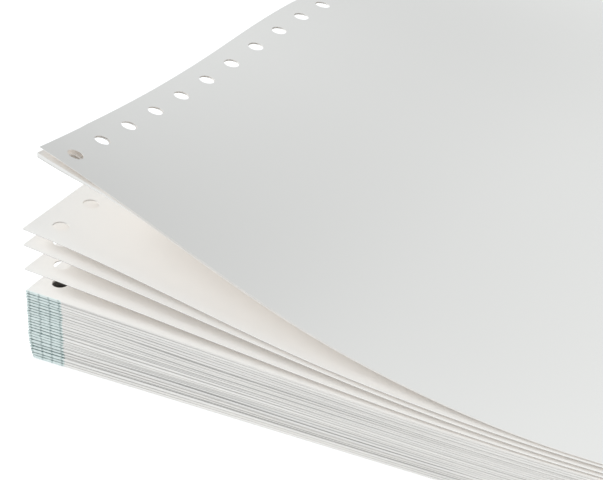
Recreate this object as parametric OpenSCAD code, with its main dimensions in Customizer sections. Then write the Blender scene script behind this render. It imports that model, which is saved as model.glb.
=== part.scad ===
// Stack of continuous form paper: one long web folded to and fro into a flat pile.
// The origin is the middle of the underside, X runs across the form, Y from the front
// folds to the back folds, and Z is up.

/* [Form] */
// Width of the form, from side edge to side edge
form_w = 241; // [203:1:381]
// Number of sprocket holes down each side, one to each pitch of the form's depth
hole_n = 22; // [16:1:28]

/* [Sprocket holes] */
// Diameter of a sprocket hole
hole_d = 4; // [3:0.1:5]
// Distance from one sprocket hole to the next
hole_pitch = 12.7; // [8:0.1:25.4]
// Distance of the hole row from the side edge
hole_inset = 6.35; // [5:0.05:10]

/* [Pile] */
// Height of the settled pile at its flat side
pile_h = 12.9; // [8:0.1:60]
// Height of one folded ridge, a few leaves that lie close together
ridge_h = 0.8; // [0.5:0.1:3]
// How far a fold stands proud of the valleys beside it
fold_bulge = 0.4; // [0.2:0.1:1]
// How far the folds spring the front left corner of the pile up
pile_lift = 5.6; // [1:0.1:12]
// How far that spring reaches along the front folds
pile_reach = 142; // [80:1:200]

/* [Loose leaves] */
// Thickness of a loose pair, two leaves that hold together at their front fold
pair_t = 0.3; // [0.2:0.05:0.6]
// Length over which the leaves lie together in front of the back folds
crease_d = 12; // [5:1:30]
// How far back the lifted left edge keeps its height
hold_d = 90; // [40:1:150]

/* [First loose pair] */
// Opening in front, over the flat side of the pile
first_gap = 0.6; // [0.3:0.05:3]
// Lift of the front left corner over the pile
first_lift = 5; // [1:0.1:15]
// Reach of the lift along the front folds
first_reach = 136; // [60:1:200]

/* [Second loose pair] */
// Opening in front, over the first pair
second_gap = 0.8; // [0.3:0.05:3]
// Lift of the front left corner over the first pair
second_lift = 5.4; // [1:0.1:15]
// Reach of the lift along the front folds
second_reach = 155; // [60:1:200]

/* [Third loose pair] */
// Opening in front, over the second pair
third_gap = 1.1; // [0.3:0.05:3]
// Lift of the front left corner over the second pair
third_lift = 2.9; // [1:0.1:15]
// Reach of the lift along the front folds
third_reach = 87; // [60:1:200]

/* [Top pair] */
// Opening in front, over the third pair
top_gap = 0.6; // [0.3:0.05:3]
// Lift of the left edge over the third pair
top_lift = 11; // [4:0.1:20]
// Further lift of the front left corner, above that of the left edge
corner_lift = 10.8; // [2:0.1:18]
// Length of left edge over which the corner's further lift dies away
corner_d = 100; // [50:1:150]
// Reach of the curl along the front folds
curl_reach = 146; // [80:1:180]
// Reach of the curl as far back as the curled edge keeps its height
curl_far_reach = 410; // [146:1:500]
// How far back the curled edge keeps its height
curl_hold_d = 120; // [60:1:160]

/* [Hidden] */
// Depth of the form, from the front folds to the back folds
form_d = hole_n * hole_pitch;
tip_v = form_d - crease_d;
curl_growth = (curl_far_reach - curl_reach) / curl_hold_d;
ridge_n = max(4, round(pile_h / ridge_h));
slope_step = 0.5;
arc_steps = 10;
// The third pair, and the opening above which each layer gets a hole of its own
third = 3;
loose_gap = 1.5 * pair_t;

// One row for each layer, from the pile's top leaf up: thickness, front opening, lift of the
// left edge, further lift of the corner, reach, growth of the reach, how straight the
// lifted part stands, and how far back it keeps its height
LAYERS = [
    [0,      0,          pile_lift,   0,           pile_reach,   0,           0.15, hold_d],
    [pair_t, first_gap,  first_lift,  0,           first_reach,  0,           1,    hold_d],
    [pair_t, second_gap, second_lift, 0,           second_reach, 0,           0.4,  hold_d],
    [pair_t, third_gap,  third_lift,  0,           third_reach,  0,           0,    hold_d],
    [pair_t, top_gap,    top_lift,    corner_lift, curl_reach,   curl_growth, 1,    curl_hold_d]
];
top = len(LAYERS) - 1;

// Stations across the form, as shares of its width, and back from the front folds, as
// shares of the depth in front of the crease: both close up where the paper bends most
ACROSS = [0, 0.05, 0.11, 0.18, 0.26, 0.34, 0.42, 0.5, 0.6, 0.75, 1];
BACK = [0, 0.06, 0.13, 0.22, 0.33, 0.45, 0.58, 0.72, 0.86, 1];
US = [for (a = ACROSS) a * form_w];
VS = [for (b = BACK) b * tip_v];

// From 1 down to 0 along half a cosine wave
function ease(w) = w <= 0 ? 1 : w >= 1 ? 0 : (1 + cos(180 * w)) / 2;

// Share of the lift left at u from the left edge. A snap of 0 bends both ways, and a snap
// of 1 lifts straight off, steepest at the edge itself
function bend(u, reach, snap) =
    ease((u + snap * reach) / (reach * (1 + snap))) / ease(snap / (1 + snap));

function lift(k, u, v) =
    let (l = LAYERS[k])
    (l[2] + l[3] * pow(max(0, 1 - v / corner_d), 2)) * ease((v - l[7]) / (tip_v - l[7]))
        * bend(u, l[4] + l[5] * v, l[6]);

function opening(k, u, v) = LAYERS[k][1] * (1 - min(1, v / tip_v)) + lift(k, u, v);

// Height of a layer's upper face, and of its lower face
function upper(k, u, v) = (k == 0 ? pile_h : upper(k - 1, u, v) + LAYERS[k][0]) + opening(k, u, v);
function lower(k, u, v) = upper(k, u, v) - LAYERS[k][0];

function slope_u(k, u, v) =
    (upper(k, u + slope_step, v) - upper(k, u - slope_step, v)) / (2 * slope_step);
function slope_v(k, u, v) =
    (upper(k, u, v + slope_step) - upper(k, u, v - slope_step)) / (2 * slope_step);

function total(list, i = 0) = i == len(list) ? 0 : list[i] + total(list, i + 1);

// A lifted leaf keeps its length, so its edge draws in towards the flat side
function draw_in(k, u, v) =
    k == 0 ? 0 :
    let (step = (form_w - u) / arc_steps)
    step * total([for (i = [0 : arc_steps - 1])
        1 - 1 / sqrt(1 + pow(slope_u(k, u + (i + 0.5) * step, v), 2))]);

// A point of layer k at u across and v back, at height z, in the part's own frame
function place(k, u, v, z) = [u + draw_in(k, u, v) - form_w / 2, v - form_d / 2, z];

// One ridge of the folded end between heights a and b
function ridge(u, v, out, a, b) = [
    place(0, u, v - out * fold_bulge, a),
    place(0, u, v, a + 0.3 * (b - a)),
    place(0, u, v, a + 0.7 * (b - a))
];

// The section at u, as one closed line: up the front folds, to and fro along the loose
// leaves, down the back folds and home along the underside
function front_line(u) =
    let (h = upper(0, u, 0) / ridge_n)
    [for (i = [0 : ridge_n - 1]) each ridge(u, 0, -1, i * h, (i + 1) * h)];
function upper_line(k, u) =
    [for (v = VS) let (w = k == 0 ? max(v, fold_bulge) : v) place(k, u, w, upper(k, u, w))];
function lower_line(k, u) =
    [for (i = [len(VS) - 2 : -1 : 0]) place(k, u, VS[i], lower(k, u, VS[i]))];
function back_folds(u) = [
    for (k = [top : -1 : 1])
        let (a = upper(k, u, form_d), b = lower(k, u, form_d))
        each [place(0, u, form_d - fold_bulge, a), place(0, u, form_d, (a + b) / 2)]
];
function back_line(u) =
    let (h = upper(0, u, form_d) / ridge_n)
    concat(
        [place(0, u, form_d - fold_bulge, ridge_n * h)],
        [for (i = [ridge_n - 1 : -1 : 0])
            let (r = ridge(u, form_d, 1, i * h, (i + 1) * h)) each [r[2], r[1], r[0]]]
    );
function section(u) = concat(
    front_line(u),
    upper_line(0, u),
    [for (k = [1 : top]) each concat(lower_line(k, u), upper_line(k, u))],
    back_folds(u),
    back_line(u)
);

// Places in the section: where the loose leaves start, where the back folds start, and
// where the pile's own back starts
vs_n = len(VS);
front_n = 3 * ridge_n;
folds_at = front_n + vs_n + top * (2 * vs_n - 1);
back_at = folds_at + 2 * top;
section_n = back_at + 3 * ridge_n + 1;
function at_upper(k, i) = front_n + k * (2 * vs_n - 1) + i;
function at_lower(k, i) =
    i == vs_n - 1 ? at_upper(k - 1, i) : at_upper(k - 1, vs_n - 1) + vs_n - 1 - i;
function at_back(k) = folds_at + 2 * (top - k);

// The web's end at a side edge: the pile as a fan about a middle point, and a strip for
// each loose layer with its fold behind it
pile_rim = concat([for (i = [0 : at_upper(0, vs_n - 1)]) i], [for (i = [back_at : section_n - 1]) i]);
function end_faces(middle) = concat(
    [for (i = [0 : len(pile_rim) - 1])
        [middle, pile_rim[(i + 1) % len(pile_rim)], pile_rim[i]]],
    [for (k = [1 : top], i = [0 : vs_n - 2])
        each quad(at_lower(k, i), at_lower(k, i + 1), at_upper(k, i + 1), at_upper(k, i))],
    [for (k = [1 : top])
        let (low = at_lower(k, vs_n - 1), high = at_upper(k, vs_n - 1))
        each concat(
            quad(low, at_back(k) + 2, at_back(k), high),
            [[at_back(k) + 2, at_back(k) + 1, at_back(k)]]
        )]
);
function quad(a, b, c, d) = [[a, b, c], [a, c, d]];
function moved(face, by) = [for (i = face) i + by];
function flipped(face) = [face[2], face[1], face[0]];

module web() {
    last = (len(US) - 1) * section_n;
    ends = len(US) * section_n;
    polyhedron(
        points = concat(
            [for (u = US) each section(u)],
            [for (u = [0, form_w]) place(0, u, form_d / 2, pile_h / 2)]
        ),
        faces = concat(
            end_faces(ends),
            [for (f = end_faces(ends + 1 - last)) flipped(moved(f, last))],
            [for (s = [0 : len(US) - 2], i = [0 : section_n - 1])
                let (a = s * section_n + i, b = s * section_n + (i + 1) % section_n)
                each quad(a, b, b + section_n, a + section_n)]
        )
    );
}

// One hole square to layer k, reaching above and below it by no more than its openings
module leaf_hole(k, v, above, below) {
    tilt_u = slope_u(k, hole_inset, v);
    tilt_v = slope_v(k, hole_inset, v);
    translate(place(k, hole_inset, v, upper(k, hole_inset, v)))
        rotate([0, -atan(sqrt(tilt_u * tilt_u + tilt_v * tilt_v)), atan2(tilt_v, tilt_u)])
            translate([0, 0, -pair_t - below])
                cylinder(h = pair_t + below + above, d = hole_d, $fn = 48);
}

// A hole straight through the pile, up to height h
module pile_hole(x, v, h) {
    translate([x, v - form_d / 2, -1])
        cylinder(h = h + 1, d = hole_d, $fn = 48);
}

// How far a hole's cutter may stand out of a layer into the opening beside it
function clear_of(k, v) = k > top ? pair_t : min(pair_t, 0.4 * opening(k, hole_inset, v));

module sprocket_holes() {
    for (i = [0 : hole_n - 1]) {
        v = (i + 0.5) * hole_pitch;
        open_here = opening(third, hole_inset, v) > loose_gap;
        pile_hole(form_w / 2 - hole_inset, v, upper(top, form_w - hole_inset, v) + 1);
        pile_hole(hole_inset - form_w / 2, v,
            open_here ? upper(0, hole_inset, v) + clear_of(1, v) : upper(top, hole_inset, v) + 1);
        if (open_here)
            for (k = [1 : top])
                leaf_hole(k, v, clear_of(k + 1, v), clear_of(k, v));
    }
}

module paper_stack() {
    color("whitesmoke")
        difference() {
            web();
            sprocket_holes();
        }
}

paper_stack();
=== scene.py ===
"""A stack of continuous form paper: the folded pile, and the loose leaves over it, whose top
leaf curls up at the front left corner."""
import math
import random
import bmesh
import bpy
from mathutils import Matrix, Vector, noise


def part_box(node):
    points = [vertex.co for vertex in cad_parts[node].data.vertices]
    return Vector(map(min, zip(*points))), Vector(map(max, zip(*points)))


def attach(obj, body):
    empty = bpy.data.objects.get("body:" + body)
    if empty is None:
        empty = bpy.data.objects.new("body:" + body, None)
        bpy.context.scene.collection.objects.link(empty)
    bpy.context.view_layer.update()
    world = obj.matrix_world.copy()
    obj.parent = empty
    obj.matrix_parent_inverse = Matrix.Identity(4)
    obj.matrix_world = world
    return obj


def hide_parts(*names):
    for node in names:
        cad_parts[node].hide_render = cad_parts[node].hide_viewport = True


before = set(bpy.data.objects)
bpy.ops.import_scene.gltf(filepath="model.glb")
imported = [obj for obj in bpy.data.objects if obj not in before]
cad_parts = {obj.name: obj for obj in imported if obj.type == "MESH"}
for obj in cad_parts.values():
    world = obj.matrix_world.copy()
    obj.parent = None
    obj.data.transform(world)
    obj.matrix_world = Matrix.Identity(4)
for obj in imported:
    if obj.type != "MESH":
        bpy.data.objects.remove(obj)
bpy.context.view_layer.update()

# Sizes in millimetres, as in the part's source. Blender's own unit is the metre.
MM = 0.001
NODE = "paper_stack"
node_low, node_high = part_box(NODE)
FORM_W = (node_high[0] - node_low[0]) / MM
FORM_D = (node_high[1] - node_low[1]) / MM
HOLE_R = 2.0
HOLE_PITCH = 12.7
HOLE_N = round(FORM_D / HOLE_PITCH)
PILE_H = 12.9
PAIR_T = 0.3
CORNER_D = 100.0
CREASE_D = 12.0
TIP_V = FORM_D - CREASE_D

# One row for each layer, from the pile's top leaf up: thickness, front opening, lift of the
# left edge, further lift of the corner, reach, growth of the reach, how straight the lifted
# part stands, and how far back it keeps its height
LAYERS = (
    (0.0, 0.0, 5.6, 0.0, 142.0, 0.0, 0.15, 90.0),
    (PAIR_T, 0.6, 5.0, 0.0, 136.0, 0.0, 1.0, 90.0),
    (PAIR_T, 0.8, 5.4, 0.0, 155.0, 0.0, 0.4, 90.0),
    (PAIR_T, 1.1, 2.9, 0.0, 87.0, 0.0, 0.0, 90.0),
    (PAIR_T, 0.6, 11.0, 10.8, 146.0, 2.2, 1.0, 120.0),
)
PILE = 0
TOP = len(LAYERS) - 1

# One leaf, how far its fold stands out, and the room that the fold has in the form's depth
LEAF_T = 0.09
FOLD_OUT = 0.1
FOLD_ROOM = 0.2

# The two leaves of a pair: depth of their middles below the pair's upper face
UPPER_LEAF = LEAF_T / 2
LOWER_LEAF = 0.25

# The topmost leaves part near the corner by up to this much. It falls off over this far across,
# and from this far back over this depth.
PARTING = 1.7
PARTING_W = 30
PARTING_FROM = 4
PARTING_D = 22

# A hole has this many sides, and the leaf between the hole rows this many columns
HOLE_SIDES = 16
CELL_CUTS = HOLE_SIDES // 4
PANEL_CUTS = 38

# A point of a flat leaf lies on the leaf's edge when it is closer to it than this
ON_EDGE = 0.01

# Loose leaves don't lie quite in register: how far the front left corner of each layer under
# the top one is shifted to the left, and how far the pile's holes are to the right and back
ASKEW = (0.0, 0.4, 0.8, 1.2)
PILE_SHIFT = (-1.0, 0.5)

# Folded ends of the pile: how many ridges show, each of two folds, how deep the valleys
# between them are, and which two ridges have the wide gap low in the pile between them
RIDGE_N = 23
VALLEY = 0.8
WIDE_GAP = (RIDGE_N - 5, RIDGE_N - 4)
WIDE_GAP_D = 1.6

# The folds wander up and down by this share of the height, and from this share down the
# leaves slide to the right
WANDER = 0.045
SLIDE_FROM = 0.72
SLIDE = 1.1

# Printed field at the left end of the front folds: its width, how far its columns wander,
# where one of its rules is before it wanders, the distance of the rules, and half their width
PRINT_W = 9.9
RAGGED = 1.6
RULE_AT = 4.5
RULE_PITCH = 2.8
RULE_HALF = 0.25
PALE_GREEN = (0.88, 0.945, 0.93, 1)
DARK_GREEN = (0.12, 0.2, 0.19, 1)

# White paper, a little warm where light bounces between the leaves
PAPER = (0.94, 0.912, 0.885, 1)

# Underside of a fold, where it lies close over the next leaf, and the paper deep in a valley
# or a bore
SHADE = (0.4, 0.36, 0.33, 1)
DEEP_SHADE = (0.16, 0.15, 0.14, 1)

# The studio's light: its colour, the strength of the light from all round, and the lamp's
# direction, strength and spread in degrees
LIGHT = (0.945, 0.985, 1)
ALL_ROUND = 0.55
KEY_TOWARDS = (-0.71, -0.41, 0.57)
KEY_STRENGTH = 1.98
KEY_SPREAD = 30

# The camera's place in metres, the way it looks, and its lens on a 36 mm sensor
CAMERA_AT = (0.168678, -0.536294, 0.305331)
CAMERA_LOOK = (-0.41581, 0.76634, -0.48973)
LENS = 143.28

# The pile's "valley" attribute is 1 in a valley and 0 on a ridge. It is TOP_FACE on the top
# leaf and the underside, and BORE in a bore below its mouth, which is MOUTH of the height deep.
# The "down" attribute goes from 0 on the top leaf to 1 at the underside.
TOP_FACE = -8.0
BORE = 10.0
MOUTH = 0.05


def ease(w):
    """From 1 down to 0 along half a cosine wave."""
    return (1 + math.cos(math.pi * min(max(w, 0.0), 1.0))) / 2


def bend(u, reach, snap):
    """Share of a lift that is left at u from the left edge."""
    return ease((u + snap * reach) / (reach * (1 + snap))) / ease(snap / (1 + snap))


def lift(k, u, v):
    """How far layer k is lifted off the one under it, at u across and v back."""
    _, _, edge, corner, reach, spread, snap, hold = LAYERS[k]
    height = edge + corner * max(0.0, 1 - v / CORNER_D) ** 2
    return height * ease((v - hold) / (TIP_V - hold)) * bend(u, reach + spread * v, snap)


def upper(k, u, v):
    """Height of the upper face of layer k over the table."""
    height = PILE_H
    for i in range(k + 1):
        thick, gap = LAYERS[i][:2]
        height += thick + gap * (1 - min(1.0, v / TIP_V)) + lift(i, u, v)
    return height


def draw_in(k, u, v, steps=5, reach=0.5):
    """How far a lifted leaf's edge draws in, because the leaf keeps its length."""
    if k == PILE:
        return 0.0
    step = (FORM_W - u) / steps
    total = 0.0
    for i in range(steps):
        at = u + (i + 0.5) * step
        slope = (upper(k, at + reach, v) - upper(k, at - reach, v)) / (2 * reach)
        total += 1 - 1 / math.sqrt(1 + slope * slope)
    return total * step


def in_frame(x, y, z):
    """A point measured from the pile's front left corner, in the part's own frame."""
    return Vector((x - FORM_W / 2, y - FORM_D / 2, z))


def parting(u, v):
    """How far the topmost leaves stand apart near the corner. A tenth of it goes on along the
    left edge to the back, where it ends."""
    near = ease((v - PARTING_FROM) / PARTING_D)
    return PARTING * ease(u / PARTING_W) * max(0.1 * ease(v / FORM_D), near)


def sheet_shape():
    """A flat leaf with its two rows of sprocket holes."""
    bm = bmesh.new()
    cell = HOLE_PITCH / 2
    for side in (cell, FORM_W - cell):
        for i in range(HOLE_N):
            place = Matrix.Translation((side, (i + 0.5) * HOLE_PITCH, 0))
            square = bmesh.ops.create_grid(
                bm, x_segments=CELL_CUTS, y_segments=CELL_CUTS, size=cell, matrix=place)["verts"]
            inner = [v for v in square if not v.is_boundary]
            edge = [v for v in square if v.is_boundary]
            bmesh.ops.delete(bm, geom=inner, context="VERTS")
            ring = bmesh.ops.create_circle(
                bm, cap_ends=False, segments=HOLE_SIDES, radius=HOLE_R, matrix=place)["verts"]
            loops = {e for v in edge + ring for e in v.link_edges}
            bmesh.ops.bridge_loops(bm, edges=list(loops))
    width = FORM_W - 2 * HOLE_PITCH
    place = Matrix.Translation((FORM_W / 2, FORM_D / 2, 0))
    place = place @ Matrix.Diagonal((width / 2, FORM_D / 2, 1, 1))
    bmesh.ops.create_grid(
        bm, x_segments=PANEL_CUTS, y_segments=HOLE_N * CELL_CUTS, size=1, matrix=place)
    bmesh.ops.remove_doubles(bm, verts=bm.verts, dist=ON_EDGE)
    bmesh.ops.recalc_face_normals(bm, faces=bm.faces)
    if sum(f.normal.z for f in bm.faces) < 0:
        bmesh.ops.reverse_faces(bm, faces=bm.faces)
    mesh = bpy.data.meshes.new("flat_leaf")
    bm.to_mesh(mesh)
    bm.free()
    return mesh


def drawn_out(bm, rim):
    """Extrudes a row of edges. Returns the new vertices, the new edges and the new faces."""
    made = bmesh.ops.extrude_edge_only(bm, edges=rim)["geom"]
    row = {g for g in made if isinstance(g, bmesh.types.BMVert)}
    edges = [g for g in made if isinstance(g, bmesh.types.BMEdge) and set(g.verts) <= row]
    return row, edges, [g for g in made if isinstance(g, bmesh.types.BMFace)]


def along(verts):
    """Vertices in order across the form."""
    return sorted(verts, key=lambda v: v.co.x)


def fold(bm, over, under, out, steps=4, shaded=2):
    """Joins two leaves by a rounded fold that stands out by out. over and under are the
    edges of the leaves. The lowest strips of the fold, shaded of them, get the second
    material."""
    start = [v.co.copy() for v in along({v for e in over for v in e.verts})]
    end = [v.co.copy() for v in along({v for e in under for v in e.verts})]
    rim = over
    for i in range(1, steps):
        turn = math.pi * i / steps
        row, rim, strip = drawn_out(bm, rim)
        if i > steps - shaded:
            for face in strip:
                face.material_index = 1
        for v, a, b in zip(along(row), start, end):
            middle = (a + b) / 2
            v.co = middle + (a - middle) * math.cos(turn) + Vector((0, out * math.sin(turn), 0))
    for face in bmesh.ops.bridge_loops(bm, edges=rim + under)["faces"]:
        face.material_index = 1


def finished(bm, name, *materials):
    """Turns a bmesh in millimetres into a piece of the stack in metres."""
    bmesh.ops.scale(bm, vec=(MM, MM, MM), verts=bm.verts)
    for face in bm.faces:
        face.smooth = True
    mesh = bpy.data.meshes.new(name)
    bm.to_mesh(mesh)
    bm.free()
    mesh.set_sharp_from_angle(angle=math.radians(40))
    for material in materials:
        mesh.materials.append(material)
    piece = bpy.data.objects.new(name, mesh)
    bpy.context.scene.collection.objects.link(piece)
    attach(piece, "root")
    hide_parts(NODE)


def loose_leaves(flat, material, fold_shade):
    """The loose part of the web, from the top leaf down: leaves joined by front folds and
    back folds in turn."""
    # Layer, depth of the leaf's middle below the layer's upper face, share of the parting at
    # the corner, and how far the front left corner is shifted to the left and the leaf back
    leaves = [
        (TOP, UPPER_LEAF, 0.0, 0.0, 0.0),
        (TOP, 0.15, 0.9, 0.7, 0.05),
        (TOP, LOWER_LEAF, 1.5, 0.7, 0.05),
    ]
    for k in range(TOP - 1, PILE, -1):
        leaves += [(k, UPPER_LEAF, 0.0, ASKEW[k], 0.0), (k, LOWER_LEAF, 0.0, ASKEW[k], 0.0)]
    bm = bmesh.new()
    fronts, backs = [], []
    for k, below, apart, left, behind in leaves:
        first_vert, first_edge = len(bm.verts), len(bm.edges)
        bm.from_mesh(flat)
        bm.verts.ensure_lookup_table()
        bm.edges.ensure_lookup_table()
        edges = [e for e in bm.edges[first_edge:] if e.is_boundary]
        fronts.append([e for e in edges if all(v.co.y < ON_EDGE for v in e.verts)])
        backs.append([e for e in edges if all(v.co.y > FORM_D - ON_EDGE for v in e.verts)])
        for vert in bm.verts[first_vert:]:
            u, v = vert.co.x, vert.co.y
            x = u + draw_in(k, u, v) - left * (1 - u / FORM_W) * max(0.0, 1 - v / CORNER_D)
            y = FOLD_ROOM + behind + v * (FORM_D - 2 * FOLD_ROOM - behind) / FORM_D
            z = upper(k, u, v) - below - apart * parting(u, v)
            vert.co = in_frame(x, y, z)
    for i in range(len(leaves) - 1):
        if i % 2:
            fold(bm, fronts[i], fronts[i + 1], -FOLD_OUT, shaded=1 if leaves[i][0] == TOP else 2)
        else:
            fold(bm, backs[i], backs[i + 1], FOLD_OUT)
    bmesh.ops.recalc_face_normals(bm, faces=bm.faces)
    bm.normal_update()
    for vert in bm.verts:
        vert.co += vert.normal * LEAF_T / 2
    bmesh.ops.solidify(bm, geom=list(bm.faces), thickness=LEAF_T)
    finished(bm, "loose_leaves", material, fold_shade)


def fold_levels():
    """Levels of the pile's folded ends, from the top down: share of the height, how far each
    of the front, the back and the sides is set in, and how deep in a valley the level is."""
    rng = random.Random(7)
    heights = [rng.uniform(0.8, 1.2) for _ in range(RIDGE_N)]
    whole = sum(heights)
    levels = []
    at = 0.0
    for i, height in enumerate(heights):
        deep = VALLEY * rng.uniform(0.5, 1.3)
        notch = rng.uniform(0.1, 0.4)
        half = rng.uniform(0.07, 0.13)
        shade = rng.uniform(0.5, 1.0)
        if i in WIDE_GAP:
            deep, half = WIDE_GAP_D, 0.2
        front, back, side = (rng.uniform(0.0, 0.14) for _ in range(3))
        # From a valley over one fold, the notch and the next fold to the next valley: share
        # of the ridge's height, how far it is set in, and how deep in a valley it is
        for down, inward, valley in (
            (0.0, deep, shade),
            (half, 0.8 * deep, shade),
            (half + 0.05, 0.12, 0.3),
            (0.34, 0.0, 0.0),
            (0.48, 0.05, 0.05),
            (0.53, notch, 0.2),
            (0.58, 0.05, 0.05),
            (0.72, 0.0, 0.0),
            (0.95 - half, 0.12, 0.3),
            (1.0 - half, 0.8 * deep, shade),
        ):
            levels.append(((at + height * down) / whole, front + inward, back + inward,
                           side + 0.08 * valley, valley))
        at += height
    # The topmost fold is round, and the lowest leaf is set in
    levels[0] = (0.0, 0.15, 0.15, 0.1, 0.0)
    levels[1] = (levels[1][0], 0.03, 0.03, 0.05, 0.0)
    levels.append((1.0, 0.4, 0.4, 0.1, 0.5))
    return levels


def pile_point(u, v, share):
    """A point of the pile at u across and v back, that share of the way down."""
    wave = noise.noise(Vector((u / 55, v / 80, share * 5)))
    wander = WANDER * share * (1 - share) * 4 * wave
    height = upper(PILE, u, v) * (1 - share - wander * (1 - u / FORM_W))
    slide = SLIDE * max(0.0, (share - SLIDE_FROM) / (1 - SLIDE_FROM)) ** 2 * (1 - u / FORM_W)
    return in_frame(u + slide, v, height)


def folded_pile(flat, material):
    """The settled pile under the loose leaves: its top leaf, the folded ends, the cut sides
    and the bores of the sprocket holes."""
    bm = bmesh.new()
    bm.from_mesh(flat)
    level = bm.verts.layers.int.new("level")
    valley = bm.verts.layers.float.new("valley")
    down = bm.verts.layers.float.new("down")

    def outer(vert):
        u, v = vert.co.x, vert.co.y
        return min(u, v, FORM_W - u, FORM_D - v) < ON_EDGE

    edges = [e for e in bm.edges if e.is_boundary]
    rim = [e for e in edges if all(outer(v) for v in e.verts)]
    bores = [e for e in edges if not all(outer(v) for v in e.verts)]
    levels = fold_levels()
    for i in range(1, len(levels)):
        row, rim, _ = drawn_out(bm, rim)
        for vert in row:
            vert[level] = i
            vert.co.z = -levels[i][0]
    bore = {v for e in bores for v in e.verts}
    for depth in (MOUTH, 1.0):
        row, bores, _ = drawn_out(bm, bores)
        for vert in row:
            vert.co.z = -depth
        bore |= row
    count = len(bm.verts)
    bm.from_mesh(flat)
    bm.verts.ensure_lookup_table()
    for vert in bm.verts[count:]:
        vert.co.z = -1.0
        vert[level] = len(levels) - 1
    for vert in bm.verts:
        u, v, share = vert.co.x, vert.co.y, -vert.co.z
        _, front, back, side, depth = levels[vert[level]]
        vert[down] = share
        if outer(vert):
            vert[valley] = depth
        else:
            vert[valley] = BORE if share and vert in bore else TOP_FACE
            u, v = u + PILE_SHIFT[0], v + PILE_SHIFT[1]
        if v < ON_EDGE:
            v = front
        elif v > FORM_D - ON_EDGE:
            v = FORM_D - back
        if u < ON_EDGE:
            u = side
        elif u > FORM_W - ON_EDGE:
            u = FORM_W - side
        vert.co = pile_point(u, v, share)
    bmesh.ops.remove_doubles(bm, verts=bm.verts, dist=0.002)
    bmesh.ops.recalc_face_normals(bm, faces=bm.faces)
    finished(bm, "folded_pile", material)


def plain_paper(name, colour):
    """Matt uncoated paper of one colour."""
    material = bpy.data.materials.new(name)
    material.use_nodes = True
    surface = material.node_tree.nodes["Principled BSDF"]
    surface.inputs["Base Color"].default_value = colour
    surface.inputs["Roughness"].default_value = 0.85
    surface.inputs["Specular IOR Level"].default_value = 0.25
    return material


def printed_paper_with_painted_shade():
    """White paper, with the printed field that the folds show at their left end: pale green,
    with a darker broken line along each valley, partly ink and partly painted shade, and darker
    rules between its columns. Shade is painted on the white paper too: in the valleys, in fine
    lines beside them, and in the bores."""
    material = plain_paper("printed_paper_with_painted_shade", PAPER)
    tree = material.node_tree
    link = tree.links.new

    def add(kind, **values):
        node = tree.nodes.new(kind)
        for key, value in values.items():
            setattr(node, key, value)
        return node

    def number(operation, first, second, third=None):
        node = add("ShaderNodeMath", operation=operation)
        for socket, value in zip(node.inputs, (first, second, third)):
            if isinstance(value, (int, float)):
                socket.default_value = value
            elif value is not None:
                link(value, socket)
        return node.outputs[0]

    def blend(first, second, share):
        """Mixes two colours by a share. Each colour is a value or the output of a node."""
        node = add("ShaderNodeMix", data_type="RGBA", clamp_factor=True)
        for socket, value in ((node.inputs["A"], first), (node.inputs["B"], second)):
            if isinstance(value, tuple):
                socket.default_value = value
            else:
                link(value, socket)
        link(share, node.inputs["Factor"])
        return node.outputs["Result"]

    def grain(across_rate, down_rate):
        """Noise that follows the folds, with so many cells to a metre across and to the
        pile's height."""
        point = add("ShaderNodeCombineXYZ")
        link(number("MULTIPLY", apart.outputs[0], across_rate), point.inputs[0])
        link(number("MULTIPLY", down.outputs["Fac"], down_rate), point.inputs[2])
        texture = add("ShaderNodeTexNoise")
        texture.inputs["Scale"].default_value = 1.0
        link(point.outputs[0], texture.inputs["Vector"])
        return texture.outputs[0]

    place = add("ShaderNodeTexCoord")
    apart = add("ShaderNodeSeparateXYZ")
    link(place.outputs["Object"], apart.inputs[0])
    valley = add("ShaderNodeAttribute", attribute_name="valley").outputs["Fac"]
    down = add("ShaderNodeAttribute", attribute_name="down")

    # Distance from the left edge in millimetres, and where the field is: left of its ragged
    # end, at the front, and not on the top leaf
    across = number("MULTIPLY_ADD", apart.outputs[0], 1 / MM, FORM_W / 2)
    ragged = number("MULTIPLY_ADD", grain(200, 48), RAGGED, across)
    inside = number("LESS_THAN", ragged, PRINT_W + RAGGED / 2)
    in_front = number("LESS_THAN", apart.outputs[1], (2.0 - FORM_D / 2) * MM)
    on_folds = number("GREATER_THAN", valley, -0.4)
    printed = number("MULTIPLY", number("MULTIPLY", inside, in_front), on_folds)

    # How dark the ink is: most in the valleys, where the darker line is partly ink and partly painted
    # shade, broken along the lines, and on the rules
    line = number("MULTIPLY", number("MULTIPLY_ADD", valley, 1.0, 0.03), grain(900, 40))
    rule = number("PINGPONG", number("SUBTRACT", ragged, RULE_AT), RULE_PITCH / 2)
    on_rule = number("LESS_THAN", rule, RULE_HALF)
    dark = number("MULTIPLY_ADD", on_rule, 0.28, number("MULTIPLY", line, 2.4))
    ink_with_painted_shade = blend(PALE_GREEN, DARK_GREEN, dark)

    # Little light gets between the leaves: valleys are darker, here more and there less, fine
    # lines run beside them, and a bore is dark below its mouth
    in_bore = number("SUBTRACT", valley, 1.2)
    in_valley = number("MULTIPLY", valley, number("MULTIPLY_ADD", grain(20, 9), 1.8, -0.2))
    fine = number("MULTIPLY", on_folds, number("MULTIPLY_ADD", grain(8, 60), 5.0, -2.65))
    shade = number("MULTIPLY_ADD", number("MAXIMUM", fine, 0.0), 0.6, number("MULTIPLY", in_valley, 0.6))
    paper = blend(PAPER, DEEP_SHADE, number("MAXIMUM", in_bore, shade))
    # In the printed field the ink, with its painted shade in the valleys, takes the place of the paper's
    # painted shade
    link(blend(paper, ink_with_painted_shade, printed), tree.nodes["Principled BSDF"].inputs["Base Color"])
    return material


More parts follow.
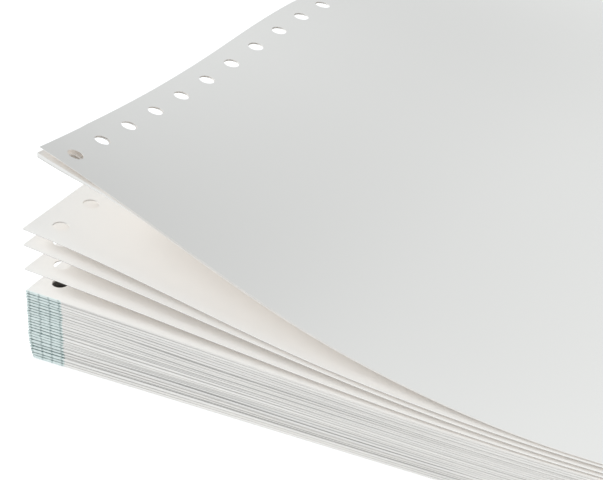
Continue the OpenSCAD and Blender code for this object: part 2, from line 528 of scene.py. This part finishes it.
def camera():
    """The photograph's point of view."""
    data = bpy.data.cameras.new("camera")
    data.sensor_width = 36
    data.lens = LENS
    data.clip_start, data.clip_end = 0.01, 20
    thing = bpy.data.objects.new("camera", data)
    bpy.context.scene.collection.objects.link(thing)
    thing.location = CAMERA_AT
    thing.rotation_euler = Vector(CAMERA_LOOK).normalized().to_track_quat("-Z", "Y").to_euler()
    bpy.context.scene.camera = thing


def floor():
    """A plain white floor, pure white to the camera where nothing shades it."""
    bm = bmesh.new()
    bmesh.ops.create_grid(bm, x_segments=1, y_segments=1, size=4)
    mesh = bpy.data.meshes.new("floor")
    bm.to_mesh(mesh)
    bm.free()
    material = bpy.data.materials.new("floor")
    material.use_nodes = True
    tree = material.node_tree
    tree.nodes.clear()
    out = tree.nodes.new("ShaderNodeOutputMaterial")
    seen = tree.nodes.new("ShaderNodeBsdfDiffuse")
    seen.inputs["Color"].default_value = (0.95, 0.95, 0.95, 1)
    bright = tree.nodes.new("ShaderNodeEmission")
    bright.inputs["Strength"].default_value = 0.35
    both = tree.nodes.new("ShaderNodeAddShader")
    plain = tree.nodes.new("ShaderNodeBsdfDiffuse")
    plain.inputs["Color"].default_value = (0.85, 0.85, 0.85, 1)
    path = tree.nodes.new("ShaderNodeLightPath")
    choice = tree.nodes.new("ShaderNodeMixShader")
    link = tree.links.new
    link(seen.outputs[0], both.inputs[0])
    link(bright.outputs[0], both.inputs[1])
    link(path.outputs["Is Camera Ray"], choice.inputs[0])
    link(plain.outputs[0], choice.inputs[1])
    link(both.outputs[0], choice.inputs[2])
    link(choice.outputs[0], out.inputs["Surface"])
    mesh.materials.append(material)
    thing = bpy.data.objects.new("floor", mesh)
    bpy.context.scene.collection.objects.link(thing)


def all_round():
    """Even light from all round, and white where the camera sees past the floor."""
    world = bpy.data.worlds.new("studio")
    bpy.context.scene.world = world
    world.use_nodes = True
    tree = world.node_tree
    back = tree.nodes["Background"]
    back.inputs["Color"].default_value = (*LIGHT, 1)
    path = tree.nodes.new("ShaderNodeLightPath")
    level = tree.nodes.new("ShaderNodeMix")
    level.inputs["A"].default_value = ALL_ROUND
    level.inputs["B"].default_value = 1.0
    tree.links.new(path.outputs["Is Camera Ray"], level.inputs["Factor"])
    tree.links.new(level.outputs["Result"], back.inputs["Strength"])


def key_lamp():
    """A soft lamp from the front left."""
    data = bpy.data.lights.new("key", "SUN")
    data.energy = KEY_STRENGTH
    data.color = LIGHT
    data.angle = math.radians(KEY_SPREAD)
    lamp = bpy.data.objects.new("key", data)
    bpy.context.scene.collection.objects.link(lamp)
    lamp.rotation_euler = (-Vector(KEY_TOWARDS)).to_track_quat("-Z", "Y").to_euler()


flat_leaf = sheet_shape()
folded_pile(flat_leaf, printed_paper_with_painted_shade())
loose_leaves(flat_leaf, plain_paper("white_paper", PAPER), plain_paper("paper_in_shade", SHADE))
bpy.data.meshes.remove(flat_leaf)

camera()
floor()
all_round()
key_lamp()

scene = bpy.context.scene
scene.view_settings.view_transform = "Standard"
scene.cycles.diffuse_bounces = 12
